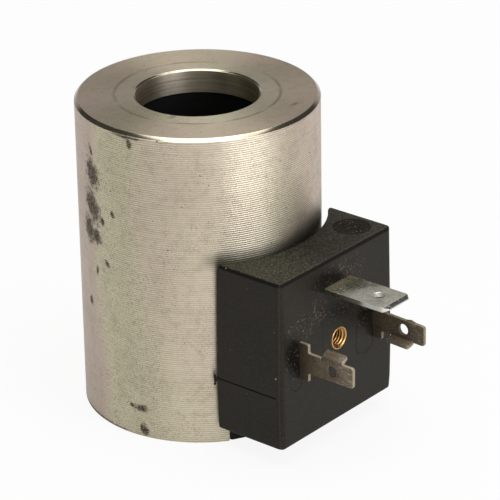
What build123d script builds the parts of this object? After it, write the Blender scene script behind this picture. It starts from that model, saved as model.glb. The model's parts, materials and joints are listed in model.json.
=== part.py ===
from build123d import *
import os
from math import atan2, cos, degrees, hypot, radians, sin, tan

# Round coil for a hydraulic valve's solenoid: an encapsulated winding in a turned steel cup, with a
# moulded plug base at its side. Millimetres. The origin is on the bore's axis at the bottom face,
# +Z runs up the bore, and the plug base faces -Y.

# Steel housing: a cup turned from bar, with its open end down and a slot for the moulding's neck.
housing_radius = 18.75
housing_length = 50.3
bore_radius = 9.5
end_wall = 3.8
side_wall = 3.0
rim_chamfer = 0.52
foot_chamfer = 0.2
mouth_chamfer = 0.26
slot_half_width = 11.5
slot_height = 20.0
slot_corner = 3.0

# Pole ring: closes the magnetic circuit at the open end, pressed against a shoulder in the cup.
ring_thickness = 6.0
ring_shoulder = 0.35
ring_lead_in = 0.4

# Bobbin, winding and tape.
bobbin_bore_gap = 0.25
bobbin_wall = 0.9
flange_thickness = 1.2
flange_overhang = 0.5
tape_thickness = 0.2
skin_side = 1.5
skin_end = 1.2

# Moulded body: the skin round the coil, the neck through the slot and the plug base outside.
body_gap = 0.15
neck_gap = 0.05
neck_bottom = 0.2
neck_foot_round = 0.4
neck_sink = 0.05
block_half_width = 13.7
block_bottom = 3.1
block_height = 27.5
block_reach = 8.2
block_draft = 0.6
saddle_gap = 1.0
block_round = 0.4
seam_height = 11.7
seam_width = 0.25
seam_depth = 0.2
seam_stop = 1.1
pin_mark_radius = 2.9
pin_mark_depth = 0.12
pin_mark_inset_x = 4.2
pin_mark_inset_y = 4.75

# Two power terminals, stamped from thin sheet and folded over along one edge.
contact_spacing = 18.0
contact_height = 16.7
terminal_sheet = 0.6
blade_half_height = 1.65
blade_length = 10.0
blade_corner = 0.4
shoulder_half_height = 3.05
shoulder_length = 1.65
shoulder_depth = 1.8
tail_half_height = 1.0
tail_depth = 7.2
terminal_hole_radius = 0.9
terminal_hole_at = 5.95
fold_start = 4.0
fold_end = 7.85
fold_base = 1.25
fold_angle = 60.0
fold_leg = 1.2
fold_inner_radius = 0.3

# Earth terminal: a flat blade above them, whose inner end is a foot sprung against the steel.
earth_rise = 9.1
earth_half_width = 3.15
earth_sheet = 0.8
earth_length = 11.5
earth_corner = 0.8
earth_bevel_length = 0.5
earth_bevel_depth = 0.25
earth_hole_radius = 0.9
earth_hole_at = 7.65
earth_hole_offset = 0.2
tongue_half_width = 1.5
tongue_from = 3.0
foot_length = 3.9
foot_gap = 0.05
foot_inner_radius = 0.2

# Threaded insert for the plug's screw; it and the carrier sit a little off the bore's plane.
insert_offset = 0.35
insert_hole_radius = 1.25
insert_hole_depth = 6.0
insert_length = 7.0
insert_neck_radius = 1.86
insert_neck_length = 1.0
insert_barrel_radius = 2.4
insert_groove_radius = 2.0
insert_groove_length = 0.9
insert_lead_in = 0.15

# Carrier: a small moulding that holds terminals and insert in line while the body is moulded.
inner_lobe_edge = 4.0
inner_lobe_top = 5.3
inner_lobe_bottom = 0.4
outer_lobe_edge = 11.6
outer_lobe_top = 1.2
outer_lobe_bottom = 4.4
lobe_corner = 0.6
bridge_depth = 3.5
bridge_thickness = 2.0
bridge_half_height = 3.0

# Wire ends, their sleeves and the solder at the terminals' tails.
wire_radius = 0.3
wire_bend = 0.9
exit_bend = 0.45
sleeve_radius = 0.55
sleeve_rise = 1.2
solder_radius = 1.15
solder_film = 0.15
wire_slot_width = 1.0
wire_slot_root = 0.15
finish_exit_rise = 1.4

# How far a piece that is trimmed to its neighbour runs past it first.
trim_allowance = 2.0

# Radii and levels that follow from the sizes above.
cup_radius = housing_radius - side_wall
ring_radius = cup_radius + ring_shoulder
body_radius = cup_radius - body_gap
tape_radius = body_radius - skin_side
winding_radius = tape_radius - tape_thickness
flange_radius = winding_radius + flange_overhang
bobbin_bore = bore_radius + bobbin_bore_gap
barrel_radius = bobbin_bore + bobbin_wall
neck_radius = housing_radius - neck_sink
saddle_radius = housing_radius + saddle_gap

body_bottom = ring_thickness
body_top = housing_length - end_wall - body_gap
winding_bottom = body_bottom + skin_end + flange_thickness
winding_top = body_top - skin_end - flange_thickness
block_top = block_bottom + block_height
front_y = -(housing_radius + block_reach)
earth_height = contact_height + earth_rise

# The base's walls lean in from the seam, so the face is a little behind its foremost line here.
face_y = front_y + abs(contact_height - seam_height) * tan(radians(block_draft))

# The wire ends run up inside the skin, half way between the tape and the skin's outside.
run_radius = (tape_radius + body_radius) / 2
contact_x = contact_spacing / 2
tail_y = face_y + tail_depth
tail_radius = hypot(contact_x, tail_y)
tail_angle = degrees(atan2(contact_x, -tail_y))
start_radius = barrel_radius + wire_slot_root + wire_slot_width / 2

UPWARD = (Align.CENTER, Align.CENTER, Align.MIN)


def turned(points):
    """A solid turned about the Z axis from its half section, given as (radius, height) points."""
    return revolve(Plane.XZ * make_face(Polyline(*points, close=True)), Axis.Z)


def rod(radius, low, high):
    """A plain cylinder about the Z axis between two heights."""
    return Pos(0, 0, low) * Cylinder(radius, high - low, align=UPWARD)


def steel_housing():
    """The turned cup: chamfered rim and bore mouth, ring seat and slot."""
    seat = ring_thickness
    ceiling = housing_length - end_wall
    cup = turned([
        (bore_radius, ceiling),
        (bore_radius, housing_length - mouth_chamfer),
        (bore_radius + mouth_chamfer, housing_length),
        (housing_radius - rim_chamfer, housing_length),
        (housing_radius, housing_length - rim_chamfer),
        (housing_radius, foot_chamfer),
        (housing_radius - foot_chamfer, 0),
        (ring_radius, 0),
        (ring_radius, seat),
        (cup_radius, seat),
        (cup_radius, ceiling),
    ])
    return cup - slot_prism(slot_half_width, -slot_corner, slot_height, slot_corner)


def slot_prism(half_width, low, high, corner, foot_round=0):
    """The slot's outline, round at its top corners and at its foot, from the axis to the front."""
    outline = Pos(0, (low + high) / 2) * Rectangle(2 * half_width, high - low)
    outline = fillet(outline.vertices().group_by(Axis.Y)[-1], corner)
    if foot_round:
        outline = fillet(outline.vertices().group_by(Axis.Y)[0], foot_round)
    return extrude(Plane.XZ * outline, -front_y)


def bottom_pole_ring():
    """The steel ring that closes the cup, with a lead-in for pressing and a chamfered bore."""
    return turned([
        (bore_radius, mouth_chamfer),
        (bore_radius + mouth_chamfer, 0),
        (ring_radius, 0),
        (ring_radius, ring_thickness - ring_lead_in),
        (ring_radius - ring_lead_in, ring_thickness),
        (bore_radius, ring_thickness),
    ])


def bobbin():
    """The winding's spool: a thin barrel with two flanges, the lower one slotted for the wire."""
    spool = turned([
        (bobbin_bore, body_bottom),
        (barrel_radius, body_bottom),
        (barrel_radius, winding_bottom - flange_thickness),
        (flange_radius, winding_bottom - flange_thickness),
        (flange_radius, winding_bottom),
        (barrel_radius, winding_bottom),
        (barrel_radius, winding_top),
        (flange_radius, winding_top),
        (flange_radius, winding_top + flange_thickness),
        (barrel_radius, winding_top + flange_thickness),
        (barrel_radius, body_top),
        (bobbin_bore, body_top),
    ])
    slot_length = flange_radius - barrel_radius
    slot = Pos(0, -(barrel_radius + wire_slot_root + slot_length / 2), winding_bottom)
    slot *= Box(wire_slot_width, slot_length, 2 * flange_thickness + wire_radius)
    return spool - Rot(0, 0, -tail_angle) * slot


def copper_winding():
    """The enamelled wire, wound full between the flanges."""
    return rod(winding_radius, winding_bottom, winding_top) - rod(barrel_radius, 0, housing_length)


def winding_tape():
    """The tape over the last layer, open where the finish end comes out."""
    tape = rod(tape_radius, winding_bottom, winding_top) - rod(winding_radius, 0, housing_length)
    window = Pos(0, -tape_radius, winding_bottom + finish_exit_rise)
    window *= Box(wire_slot_width, 2 * tape_thickness + wire_radius, wire_slot_width)
    return tape - Rot(0, 0, tail_angle) * window


def wire(points, radius, bends):
    """Round wire along straight runs and tangent arcs; points are (distance out, height)."""
    path = FilletPolyline(*[(0, -out, height) for out, height in points], radius=bends)
    start = Plane(origin=path @ 0, z_dir=path % 0)
    return sweep(start * Circle(radius), path)


def start_route():
    """From the bottom layer, down through the flange, out below it, up, and out to the tail."""
    under = winding_bottom - flange_thickness - 2 * wire_radius
    return [
        (start_radius, winding_bottom),
        (start_radius, under),
        (run_radius, under),
        (run_radius, contact_height),
        (tail_radius - solder_film, contact_height),
    ]


def finish_route():
    """From the last layer, out through the tape, up, and out to the tail."""
    level = winding_bottom + finish_exit_rise
    return [
        (winding_radius, level),
        (run_radius, level),
        (run_radius, contact_height),
        (tail_radius - solder_film, contact_height),
    ]


def sleeve_route():
    """The stretch of either route that a sleeve covers."""
    return [
        (run_radius, winding_bottom + finish_exit_rise + sleeve_rise),
        (run_radius, contact_height),
        (tail_radius - solder_radius - solder_film, contact_height),
    ]


def start_wire():
    return wire(start_route(), wire_radius, [exit_bend, wire_bend, wire_bend])


def finish_wire():
    return wire(finish_route(), wire_radius, [exit_bend, wire_bend])


def sleeve_rod():
    return wire(sleeve_route(), sleeve_radius, [wire_bend])


def left(shape):
    """A piece made straight ahead of the axis, turned to the left terminal's tail."""
    return Rot(0, 0, -tail_angle) * shape


def right(shape):
    """The same for the right terminal's tail."""
    return Rot(0, 0, tail_angle) * shape


def solder_ball():
    """Solder round a tail's end before terminal and wire are taken out of it."""
    return Pos(0, -tail_radius, contact_height) * Sphere(solder_radius)


def folded_terminal():
    """A power terminal about its own middle: the face is at y = 0 and the blade points to -Y."""
    outline = make_face(Polyline(
        (tail_depth, -tail_half_height),
        (shoulder_depth, -tail_half_height),
        (shoulder_depth, -shoulder_half_height),
        (-shoulder_length, -shoulder_half_height),
        (-shoulder_length, -blade_half_height),
        (blade_corner - blade_length, -blade_half_height),
        (-blade_length, blade_corner - blade_half_height),
        (-blade_length, blade_half_height - blade_corner),
        (blade_corner - blade_length, blade_half_height),
        (-shoulder_length, blade_half_height),
        (-shoulder_length, shoulder_half_height),
        (shoulder_depth, shoulder_half_height),
        (shoulder_depth, tail_half_height),
        (tail_depth, tail_half_height),
        close=True,
    ))
    outline -= Pos(-terminal_hole_at, 0) * Circle(terminal_hole_radius)
    sheet = extrude(Plane.YZ * outline, terminal_sheet / 2, both=True)

    # The sheet stops where the bend starts, and the bend and its leg carry on from there.
    fold_length = fold_end - fold_start
    above_bend = Pos(0, -(fold_start + fold_end) / 2, fold_base + blade_half_height)
    sheet -= above_bend * Box(2 * terminal_sheet, fold_length, 2 * blade_half_height)
    return sheet + extrude(Plane.XZ.offset(fold_start) * fold_section(), fold_length)


def fold_section():
    """The folded edge seen along the blade: a bend away from the sheet, then a straight leg."""
    centre = Vector(terminal_sheet / 2 + fold_inner_radius, fold_base)
    outer_radius = fold_inner_radius + terminal_sheet
    turn = radians(fold_angle)
    from_centre = Vector(-cos(turn), sin(turn))
    leg = Vector(sin(turn), cos(turn)) * fold_leg
    outer_end = centre + from_centre * outer_radius
    inner_end = centre + from_centre * fold_inner_radius
    edges = [
        CenterArc(centre, outer_radius, 180 - fold_angle, fold_angle),
        Polyline(outer_end, outer_end + leg, inner_end + leg, inner_end),
        CenterArc(centre, fold_inner_radius, 180 - fold_angle, fold_angle),
        Line((terminal_sheet / 2, fold_base), (-terminal_sheet / 2, fold_base)),
    ]
    return make_face(edges)


def power_terminal_left():
    return Pos(-contact_x, face_y, contact_height) * folded_terminal()


def power_terminal_right():
    """The same stamping, turned half a turn about its blade."""
    return Pos(contact_x, face_y, contact_height) * Rot(0, 180, 0) * folded_terminal()


def earth_terminal():
    """The blade's side view, bent down at its inner end, kept within its outline from above."""
    tip = face_y - earth_length
    top = earth_height + earth_sheet / 2
    bottom = earth_height - earth_sheet / 2
    foot_inside = -(housing_radius + foot_gap)
    foot_outside = foot_inside - earth_sheet
    bend_y = foot_outside - foot_inner_radius
    bend_z = bottom - foot_inner_radius
    foot_end = bend_z - foot_length
    bend_centre = (bend_y, bend_z)
    side = Polyline(
        (bend_y, top),
        (tip + earth_bevel_length, top),
        (tip, top - earth_bevel_depth),
        (tip, bottom + earth_bevel_depth),
        (tip + earth_bevel_length, bottom),
        (bend_y, bottom),
    )
    side += CenterArc(bend_centre, foot_inner_radius, 0, 90)
    side += Polyline((foot_outside, bend_z), (foot_outside, foot_end), (foot_inside, foot_end), (foot_inside, bend_z))
    side += CenterArc(bend_centre, foot_inner_radius + earth_sheet, 0, 90)
    strip = extrude(Plane.YZ * make_face(side), earth_half_width, both=True)

    neck_y = face_y + tongue_from
    plan = make_face(Polyline(
        (earth_corner - earth_half_width, tip),
        (earth_half_width - earth_corner, tip),
        (earth_half_width, tip + earth_corner),
        (earth_half_width, neck_y),
        (tongue_half_width, neck_y),
        (tongue_half_width, 0),
        (-tongue_half_width, 0),
        (-tongue_half_width, neck_y),
        (-earth_half_width, neck_y),
        (-earth_half_width, tip + earth_corner),
        close=True,
    ))
    plan -= Pos(earth_hole_offset, face_y - earth_hole_at) * Circle(earth_hole_radius)
    return strip & extrude(plan, block_top)


def insert_blank(proud=0):
    """The brass insert before its hole: a slim neck at the face and a grooved barrel. As a cutter
    it stands proud, so that it also clears the leaning face in front of its own flat end."""
    groove_start = (insert_neck_length + insert_length - insert_groove_length) / 2
    groove_end = groove_start + insert_groove_length
    section = make_face(Polyline(
        (0, -proud),
        (insert_neck_radius, -proud),
        (insert_neck_radius, insert_neck_length),
        (insert_barrel_radius, insert_neck_length),
        (insert_barrel_radius, groove_start),
        (insert_groove_radius, groove_start),
        (insert_groove_radius, groove_end),
        (insert_barrel_radius, groove_end),
        (insert_barrel_radius, insert_length),
        (0, insert_length),
        close=True,
    ))
    return Pos(insert_offset, face_y, contact_height) * revolve(section, Axis.Y)


def insert_hole():
    """The insert's blind screw hole at the thread's crest, with a lead-in at its mouth."""
    section = make_face(Polyline(
        (0, 0),
        (insert_hole_radius + insert_lead_in, 0),
        (insert_hole_radius, insert_lead_in),
        (insert_hole_radius, insert_hole_depth),
        (0, insert_hole_depth),
        close=True,
    ))
    return Pos(insert_offset, face_y, contact_height) * revolve(section, Axis.Y)


def lobe(inner, outer, bottom, top):
    """One flat-faced lobe of the carrier, left of the insert, between the given edges."""
    centre = Pos(-(inner + outer) / 2, (top - bottom) / 2)
    return centre * RectangleRounded(outer - inner, top + bottom, lobe_corner)


def carrier_block(base):
    """The carrier before terminals and insert are taken out: lobes flush with the base's face,
    one each side of either terminal, and the bridge that joins them behind."""
    sheet_side = contact_x - terminal_sheet / 2 + insert_offset
    inner_lobe = lobe(inner_lobe_edge, sheet_side, inner_lobe_bottom, inner_lobe_top)
    outer_lobe = lobe(sheet_side + terminal_sheet, outer_lobe_edge, outer_lobe_bottom, outer_lobe_top)
    lobes = inner_lobe + outer_lobe
    lobes += Rot(0, 0, 180) * lobes
    bridge = Rectangle(2 * outer_lobe_edge, 2 * bridge_half_height)
    behind = bridge_depth + bridge_thickness
    back = Plane.XZ.offset(-behind)
    block = extrude(back * lobes, behind + trim_allowance) + extrude(back * bridge, bridge_thickness)
    return (Pos(insert_offset, face_y, contact_height) * block) & base


def plug_base():
    """The base outside the cup: drafted both ways from its seam, hollowed concentric with the
    steel behind, with every outer edge rounded."""
    plan = Pos(0, front_y / 2) * Rectangle(2 * block_half_width, -front_y)
    plan = Pos(0, 0, seam_height) * fillet(plan.vertices().group_by(Axis.Y)[0], block_round)
    upper = extrude(plan, block_top - seam_height, taper=block_draft)
    lower = extrude(plan, block_bottom - seam_height, taper=block_draft)
    base = upper + lower
    levels = base.edges().filter_by(Plane.XY).group_by(Axis.Z)
    base = fillet(levels[0] + levels[-1], block_round)
    base -= rod(saddle_radius, 0, housing_length)
    mark_at = (block_half_width - pin_mark_inset_x, front_y + pin_mark_inset_y, block_top)
    return base - Pos(*mark_at) * Cylinder(pin_mark_radius, 2 * pin_mark_depth)


def side_seams():
    """The moulding's parting line, a shallow groove on each side of the base."""
    length = -front_y - seam_stop
    for side in (-1, 1):
        yield Pos(side * block_half_width, -length / 2, seam_height) * Box(2 * seam_depth, length, seam_width)


def moulded_body(base, inside):
    """Skin, neck and base in one moulding, with everything that it was moulded round taken out."""
    skin = rod(body_radius, body_bottom, body_top) - rod(bobbin_bore, 0, housing_length)
    half_width = slot_half_width - neck_gap
    corner = slot_corner - neck_gap
    prism = slot_prism(half_width, neck_bottom, slot_height - neck_gap, corner, neck_foot_round)
    neck = prism & rod(neck_radius, 0, housing_length)
    neck -= rod(body_radius - skin_side / 2, 0, housing_length)
    neck -= rod(ring_radius + body_gap, 0, body_bottom)
    link = slot_prism(half_width, block_bottom, slot_height - neck_gap, corner)
    link &= rod(saddle_radius + trim_allowance, 0, housing_length)
    link -= rod(ring_radius + body_gap, 0, housing_length)
    body = skin + neck + link + base
    for groove in side_seams():
        body -= groove
    for piece in inside:
        body -= piece
    return body


def save(shape, name):
    export_step(shape, f"parts/{name}.step")


def main():
    os.makedirs("parts", exist_ok=True)
    spool, coil, tape = bobbin(), copper_winding(), winding_tape()
    terminals = power_terminal_left(), power_terminal_right()
    base = plug_base()
    earth, insert, carrier = earth_terminal(), insert_blank(), carrier_block(base)
    ends = left(start_wire()), right(finish_wire())
    sleeves = left(sleeve_rod()), right(sleeve_rod())
    balls = left(solder_ball()), right(solder_ball())
    around_insert = insert_blank(trim_allowance)
    inside = [spool, coil, tape, *terminals, earth, around_insert, carrier, *ends, *sleeves, *balls]

    save(steel_housing(), "steel_housing")
    save(bottom_pole_ring(), "bottom_pole_ring")
    save(moulded_body(base, inside), "moulded_body")
    save(spool, "bobbin")
    save(coil, "copper_winding")
    save(tape, "winding_tape")
    save(ends[0], "start_lead")
    save(ends[1], "finish_lead")
    save(sleeves[0] - ends[0], "start_lead_sleeve")
    save(sleeves[1] - ends[1], "finish_lead_sleeve")
    save(balls[0] - ends[0] - terminals[0], "start_solder_joint")
    save(balls[1] - ends[1] - terminals[1], "finish_solder_joint")
    save(carrier - terminals[0] - terminals[1] - around_insert, "terminal_carrier")
    save(terminals[0], "power_terminal_left")
    save(terminals[1], "power_terminal_right")
    save(earth, "earth_terminal")
    save(insert - insert_hole(), "threaded_insert")


main()
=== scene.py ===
import json
from functools import reduce
from math import cos, pi, radians, sin, tan

import bmesh
import bpy
import numpy as np
from mathutils import Matrix, Vector


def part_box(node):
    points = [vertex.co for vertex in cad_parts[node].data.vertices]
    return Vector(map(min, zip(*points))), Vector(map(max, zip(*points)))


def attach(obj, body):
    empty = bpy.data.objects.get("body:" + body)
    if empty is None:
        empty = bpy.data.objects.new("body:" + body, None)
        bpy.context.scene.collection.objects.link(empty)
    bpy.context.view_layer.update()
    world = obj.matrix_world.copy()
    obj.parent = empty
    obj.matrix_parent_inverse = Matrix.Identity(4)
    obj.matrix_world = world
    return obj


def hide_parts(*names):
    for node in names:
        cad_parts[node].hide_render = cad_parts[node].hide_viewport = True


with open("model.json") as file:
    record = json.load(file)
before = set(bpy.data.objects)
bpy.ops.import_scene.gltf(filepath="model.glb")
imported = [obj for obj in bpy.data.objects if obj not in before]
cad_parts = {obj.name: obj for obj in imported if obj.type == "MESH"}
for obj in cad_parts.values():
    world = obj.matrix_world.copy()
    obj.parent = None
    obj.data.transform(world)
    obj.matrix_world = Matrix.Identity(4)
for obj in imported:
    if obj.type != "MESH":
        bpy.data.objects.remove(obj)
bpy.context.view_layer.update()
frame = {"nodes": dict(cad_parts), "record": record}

# Camera: a long lens about half a metre away, looking down on the coil from its front left, with the
# plug base to the right of the steel cup. The shift puts the lens's axis where the photograph has it.
mm = 0.001
picture = 500
camera_azimuth = radians(-50.2208)
camera_elevation = radians(24.4851)
camera_roll = radians(-0.9446)
camera_place = Vector((-322.817, -279.270, 220.549)) * mm
focal_pixels = 3024.154
axis_pixel = (252.9465, 235.7983)
sensor_width = 36

backward = Vector((sin(camera_azimuth) * cos(camera_elevation),
                   -cos(camera_azimuth) * cos(camera_elevation),
                   sin(camera_elevation)))
level_right = Vector((cos(camera_azimuth), sin(camera_azimuth), 0))
level_up = backward.cross(level_right)
right = cos(camera_roll) * level_right + sin(camera_roll) * level_up
up = cos(camera_roll) * level_up - sin(camera_roll) * level_right


def in_scene(name, data):
    """A new object, linked to the scene."""
    thing = bpy.data.objects.new(name, data)
    bpy.context.scene.collection.objects.link(thing)
    return thing


lens = bpy.data.cameras.new("camera")
lens.sensor_width = sensor_width
lens.lens = focal_pixels / picture * sensor_width
lens.shift_x = 0.5 - axis_pixel[0] / picture
lens.shift_y = axis_pixel[1] / picture - 0.5
lens.clip_start = 0.01
camera = in_scene("camera", lens)
camera.matrix_world = Matrix.Translation(camera_place) @ Matrix((right, up, backward)).transposed().to_4x4()
bpy.context.scene.camera = camera
bpy.context.scene.view_settings.view_transform = "Standard"


# Floor, lamps and surroundings: a white table under two soft boxes, in a room with a bright ceiling, a
# grey backdrop behind the coil and a dim window before it, which the metal mirrors.
def arithmetic(operation, reflected=False):
    """An operator's method, which adds one Math node."""
    if reflected:
        return lambda self, other: self.math(operation, other, self)
    return lambda self, *others: self.math(operation, self, *others)


class Amount:
    """A number or colour that changes over a surface. Arithmetic on it adds Math nodes."""

    def __init__(self, finish, socket):
        self.finish = finish
        self.socket = socket

    def math(self, operation, *values):
        """The result of one step of arithmetic on the values."""
        return self.finish.node("ShaderNodeMath", {"operation": operation}, dict(enumerate(values)))

    __add__ = arithmetic("ADD")
    __radd__ = arithmetic("ADD", reflected=True)
    __sub__ = arithmetic("SUBTRACT")
    __rsub__ = arithmetic("SUBTRACT", reflected=True)
    __mul__ = arithmetic("MULTIPLY")
    __rmul__ = arithmetic("MULTIPLY", reflected=True)
    __truediv__ = arithmetic("DIVIDE")
    __pow__ = arithmetic("POWER")
    size = arithmetic("ABSOLUTE")
    wave = arithmetic("SINE")
    larger = arithmetic("MAXIMUM")
    smaller = arithmetic("MINIMUM")

    def rise(self, low, high):
        """0 below low, 1 above high, and a smooth rise between them."""
        settings = {"interpolation_type": "SMOOTHSTEP"}
        sockets = {"Value": self, "From Min": low, "From Max": high}
        return self.finish.node("ShaderNodeMapRange", settings, sockets)

    def fall(self, low, high):
        """1 below low, 0 above high, and a smooth fall between them."""
        return 1 - self.rise(low, high)


class Finish:
    """A node tree that is being written: a material's, or the surroundings'."""

    def __init__(self, name, owner=None):
        self.owner = owner or bpy.data.materials.new(name)
        self.owner.use_nodes = True
        self.tree = self.owner.node_tree
        self.tree.nodes.clear()

    def node(self, kind, settings, inputs, output=0):
        """Adds one node: its settings first, then the values or links of its sockets."""
        node = self.tree.nodes.new(kind)
        for name, value in settings.items():
            setattr(node, name, value)
        for name, value in inputs.items():
            self.feed(node.inputs[name], value)
        return Amount(self, node.outputs[output]) if node.outputs else None

    def feed(self, socket, value):
        """Links an amount to a socket, or sets a plain value on it."""
        if isinstance(value, Amount):
            self.tree.links.new(value.socket, socket)
        elif socket.type == "RGBA":
            socket.default_value = (*value, 1)
        else:
            socket.default_value = value

    def vector(self, operation, first, second, output="Vector"):
        """One step of vector arithmetic."""
        return self.node("ShaderNodeVectorMath", {"operation": operation}, {0: first, 1: second}, output)

    def along(self, vector, direction):
        """How far a vector reaches along a direction."""
        return self.vector("DOT_PRODUCT", vector, direction, "Value")

    def mix_shaders(self, factor, first, second):
        return self.node("ShaderNodeMixShader", {}, {0: factor, 1: first, 2: second})


def quads(rows, columns, first=0):
    """The four-cornered faces of a grid of points that are numbered row by row."""
    index = first + np.arange(rows * columns).reshape(rows, columns)
    return np.stack([index[:-1, :-1], index[:-1, 1:], index[1:, 1:], index[1:, :-1]], -1).reshape(-1, 4)


floor_size = 3.0
floor_white = (0.8, 0.8, 0.8)
pure_white = (1.0, 1.0, 1.0)
floor_glow = 0.9
floor_gloss = 0.5
grid = np.stack(np.meshgrid([-floor_size, floor_size], [-floor_size, floor_size], [0], indexing="ij"), -1)
floor_mesh = bpy.data.meshes.new("floor")
floor_mesh.from_pydata(grid.reshape(-1, 3).tolist(), [], quads(2, 2)[:, ::-1].tolist())
floor = in_scene("floor", floor_mesh)
table = Finish("white_table")
seen = table.node("ShaderNodeLightPath", {}, {}, "Is Camera Ray")
mirrored = table.node("ShaderNodeLightPath", {}, {}, "Is Glossy Ray")
board = table.node("ShaderNodeBsdfDiffuse", {}, {"Color": floor_white})
glow = table.node("ShaderNodeEmission", {}, {"Color": pure_white, "Strength": 1.0})
gloss = table.node("ShaderNodeEmission", {}, {"Color": floor_white, "Strength": 1.0})
surface = table.mix_shaders(seen * floor_glow, board, glow)
surface = table.mix_shaders(mirrored * floor_gloss, surface, gloss)
table.node("ShaderNodeOutputMaterial", {}, {"Surface": surface})
floor_mesh.materials.append(table.owner)

walls, ceiling, backdrop, window = 0.07, 2.0, 0.47, 0.44
world = bpy.data.worlds.new("surroundings")
bpy.context.scene.world = world
room = Finish("surroundings", world)
direction = room.node("ShaderNodeTexCoord", {}, {}, "Generated")
height = room.node("ShaderNodeSeparateXYZ", {}, {0: direction}, "Z")
toward_front = Vector((backward.x, backward.y, 0)).normalized()
toward_lamps = (Vector((0, 0, 1)) + 0.066 * level_right).normalized()
toward_window = cos(radians(25)) * toward_front + sin(radians(25)) * level_right
overhead = room.along(direction, toward_lamps).rise(0.79, 0.85)
behind = room.along(direction, -toward_front).rise(0.70, 0.88) * height.fall(0.5, 0.65)
before = room.along(direction, toward_window).rise(0.3, 0.8) * height.fall(0.5, 0.7)
brightness = overhead * ceiling + behind * backdrop + before * window + walls
room_light = room.node("ShaderNodeBackground", {}, {"Color": (1.0, 0.98, 0.94), "Strength": brightness})
room_white = room.node("ShaderNodeBackground", {}, {"Color": pure_white, "Strength": 1.0})
seen = room.node("ShaderNodeLightPath", {}, {}, "Is Camera Ray")
room.node("ShaderNodeOutputWorld", {}, {"Surface": room.mix_shaders(seen, room_light, room_white)})

lamp_tint = (0.96, 0.98, 1.07)
lamp_aim = Vector((0, 0, 0.025))


def soft_box(name, place, width, height, power):
    """A rectangular lamp that faces the coil's middle."""
    lamp = bpy.data.lights.new(name, "AREA")
    lamp.shape = "RECTANGLE"
    lamp.size = width
    lamp.size_y = height
    lamp.energy = power
    lamp.color = lamp_tint
    holder = in_scene(name, lamp)
    holder.location = place
    holder.rotation_euler = (lamp_aim - Vector(place)).to_track_quat("-Z", "Y").to_euler()


soft_box("overhead_box", (-0.1, -0.1, 1.0), 0.9, 0.9, 2)
soft_box("right_box", (-0.06, -0.98, 0.36), 0.75, 0.6, 5)


# Steel housing: a cup turned from bar, zinc plated and passivated, with its open end down. The front
# is slotted for the moulding. Fine turning ridges run round it, and it is stained and pitted by use.
def shade(red, green, blue):
    """A colour as it is read off a screen, 0 to 255, as linear light."""
    part = np.array([red, green, blue]) / 255
    return tuple(np.where(part < 0.04045, part / 12.92, ((part + 0.055) / 1.055) ** 2.4).tolist())


class Surface(Finish):
    """A solid piece's finish: one main shader, and patterns measured in millimetres."""

    def __init__(self, name, **fixed):
        super().__init__(name)
        self.shader = self.tree.nodes.new("ShaderNodeBsdfPrincipled")
        output = self.tree.nodes.new("ShaderNodeOutputMaterial")
        self.tree.links.new(self.shader.outputs[0], output.inputs["Surface"])
        for socket, value in fixed.items():
            self.shader.inputs[socket.replace("_", " ")].default_value = value
        metres = self.node("ShaderNodeTexCoord", {}, {}, "Object")
        self.place = self.vector("MULTIPLY", metres, (1 / mm, 1 / mm, 1 / mm))
        self.axes = [self.node("ShaderNodeSeparateXYZ", {}, {0: self.place}, axis) for axis in "XYZ"]

    def noise(self, grain, stretch=None, detail=4.0, rough=0.55, offset=0.0):
        """Clouds, 0 to 1, about grain millimetres across, which a stretch makes run one way."""
        place = self.vector("MULTIPLY", self.place, stretch) if stretch else self.place
        place = self.vector("ADD", place, (offset, offset, offset))
        sockets = {"Vector": place, "Scale": 1 / grain, "Detail": detail, "Roughness": rough}
        return self.node("ShaderNodeTexNoise", {}, sockets)

    def specks(self, spacing, size, offset):
        """Scattered dots: 1 in their middles and 0 around them."""
        place = self.vector("ADD", self.place, (offset, offset, offset))
        sockets = {"Vector": place, "Scale": 1 / spacing, "Randomness": 1.0}
        far = self.node("ShaderNodeTexVoronoi", {}, sockets, "Distance")
        return far.fall(size / spacing * 0.5, size / spacing)

    def mix(self, factor, first, second):
        """A colour between two others, which are read off a screen or come from nodes."""
        first, second = (ink if isinstance(ink, Amount) else shade(*ink) for ink in (first, second))
        return self.node("ShaderNodeMix", {"data_type": "RGBA"}, {0: factor, 6: first, 7: second}, 2)

    def start(self, factor, first, second):
        """The lowest layer: a colour between two."""
        self.colour = self.mix(factor, first, second)

    def paint(self, mask, colour):
        """Lays a colour over what is there: fully where the mask is 1, and not at all where it is 0."""
        self.colour = self.mix(mask, self.colour, colour)

    def complete(self, rough, *heights):
        """Feeds the shader its colour, its roughness, and heights in millimetres as one bump."""
        bump = {"Strength": 1.0, "Distance": mm, "Height": sum(heights[1:], heights[0])}
        normal = self.node("ShaderNodeBump", {}, bump)
        for socket, value in (("Base Color", self.colour), ("Roughness", rough), ("Normal", normal)):
            self.feed(self.shader.inputs[socket], value)
        return self


def patch(along, rise, frayed, place, size, lean=0.0):
    """An oval patch, 1 inside and 0 outside, on a surface that is measured by along and rise.
    frayed is the noise, 0 to 1, that makes its edge ragged."""
    rise = rise - place[1]
    along = (along - place[0] + rise * lean) / size[0]
    rise = rise / size[1]
    far = (along * along + rise * rise) ** 0.5
    return (far + (frayed - 0.5) * 2.6).fall(0.5, 1.4)


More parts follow.
